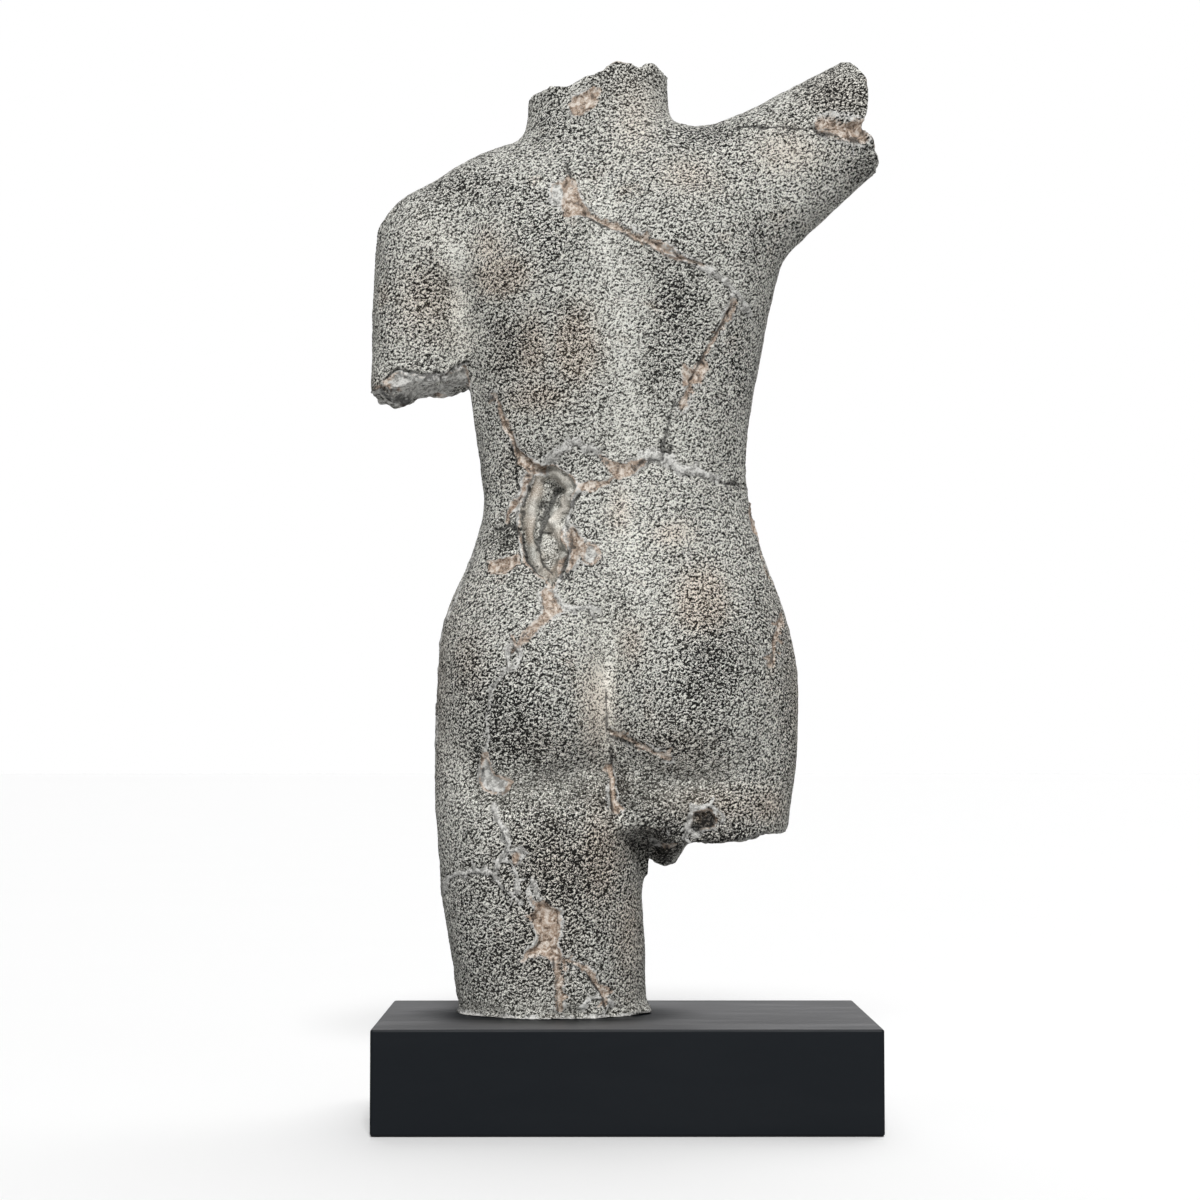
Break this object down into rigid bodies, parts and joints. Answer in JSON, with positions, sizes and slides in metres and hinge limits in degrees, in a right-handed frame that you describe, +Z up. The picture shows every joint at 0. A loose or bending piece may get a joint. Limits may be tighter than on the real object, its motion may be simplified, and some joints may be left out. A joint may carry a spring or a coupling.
{
  "type": "torso sculpture",
  "caption": "Cast resin sculpture of a female torso without head, with broken arms and thigh and an aged stone finish, standing on a rectangular black plinth.",
  "frame": {"origin": "centre of the plinth's flat underside", "axes": "+Z up, +Y towards the figure's front, +X towards the figure's raised right arm"},
  "size_m": [0.2979, 0.1856, 0.6171],
  "materials": {
    "aged_resin": "matt aged stone patina: pale grey-green grain over charcoal, with terracotta stains, cracks and chips",
    "black_plinth": "matt black lacquer, lightly scuffed"
  },
  "bodies": {
    "root": {"torso": "aged_resin", "plinth": "black_plinth"}
  },
  "joints": []
}
